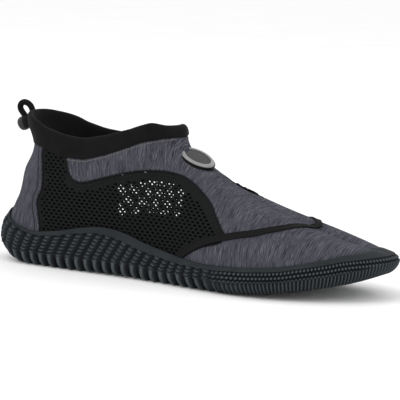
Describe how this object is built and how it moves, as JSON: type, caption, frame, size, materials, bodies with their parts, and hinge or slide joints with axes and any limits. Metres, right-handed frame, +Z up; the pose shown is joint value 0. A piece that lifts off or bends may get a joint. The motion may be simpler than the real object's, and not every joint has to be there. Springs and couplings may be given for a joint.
{
  "type": "water shoe",
  "caption": "Right slip-on water shoe: ribbed rubber cup sole, knit upper with mesh side panels, padded stretch collar, pull loop and cord stopper at the heel.",
  "frame": {"origin": "on the floor under the middle of the shoe's bounding box", "axes": "+X from heel to toe, +Y to the inner (big toe) side of the right foot, +Z up"},
  "size_m": [0.2854, 0.097, 0.1067],
  "materials": {
    "sole_rubber": "dark grey-green moulded rubber, satin",
    "insole_foam": "dark foam faced with cloth",
    "knit": "grey-purple melange knit over neoprene",
    "mesh": "black open mesh",
    "neoprene": "smooth black stretch cloth over foam",
    "tape": "black woven tape",
    "badge_plastic": "grey moulded badge with a dark rim, blank",
    "cord": "black round elastic cord",
    "stopper_plastic": "dark plastic, lighter rounded end"
  },
  "bodies": {
    "root": {"outsole": "sole_rubber", "insole": "insole_foam", "upper": "knit", "mesh_panel_outer": "mesh", "mesh_panel_inner": "mesh", "collar_cuff": "neoprene", "toe_tape": "tape", "instep_badge": "badge_plastic", "pull_loop": "cord", "cord_stopper": "stopper_plastic"}
  },
  "joints": []
}
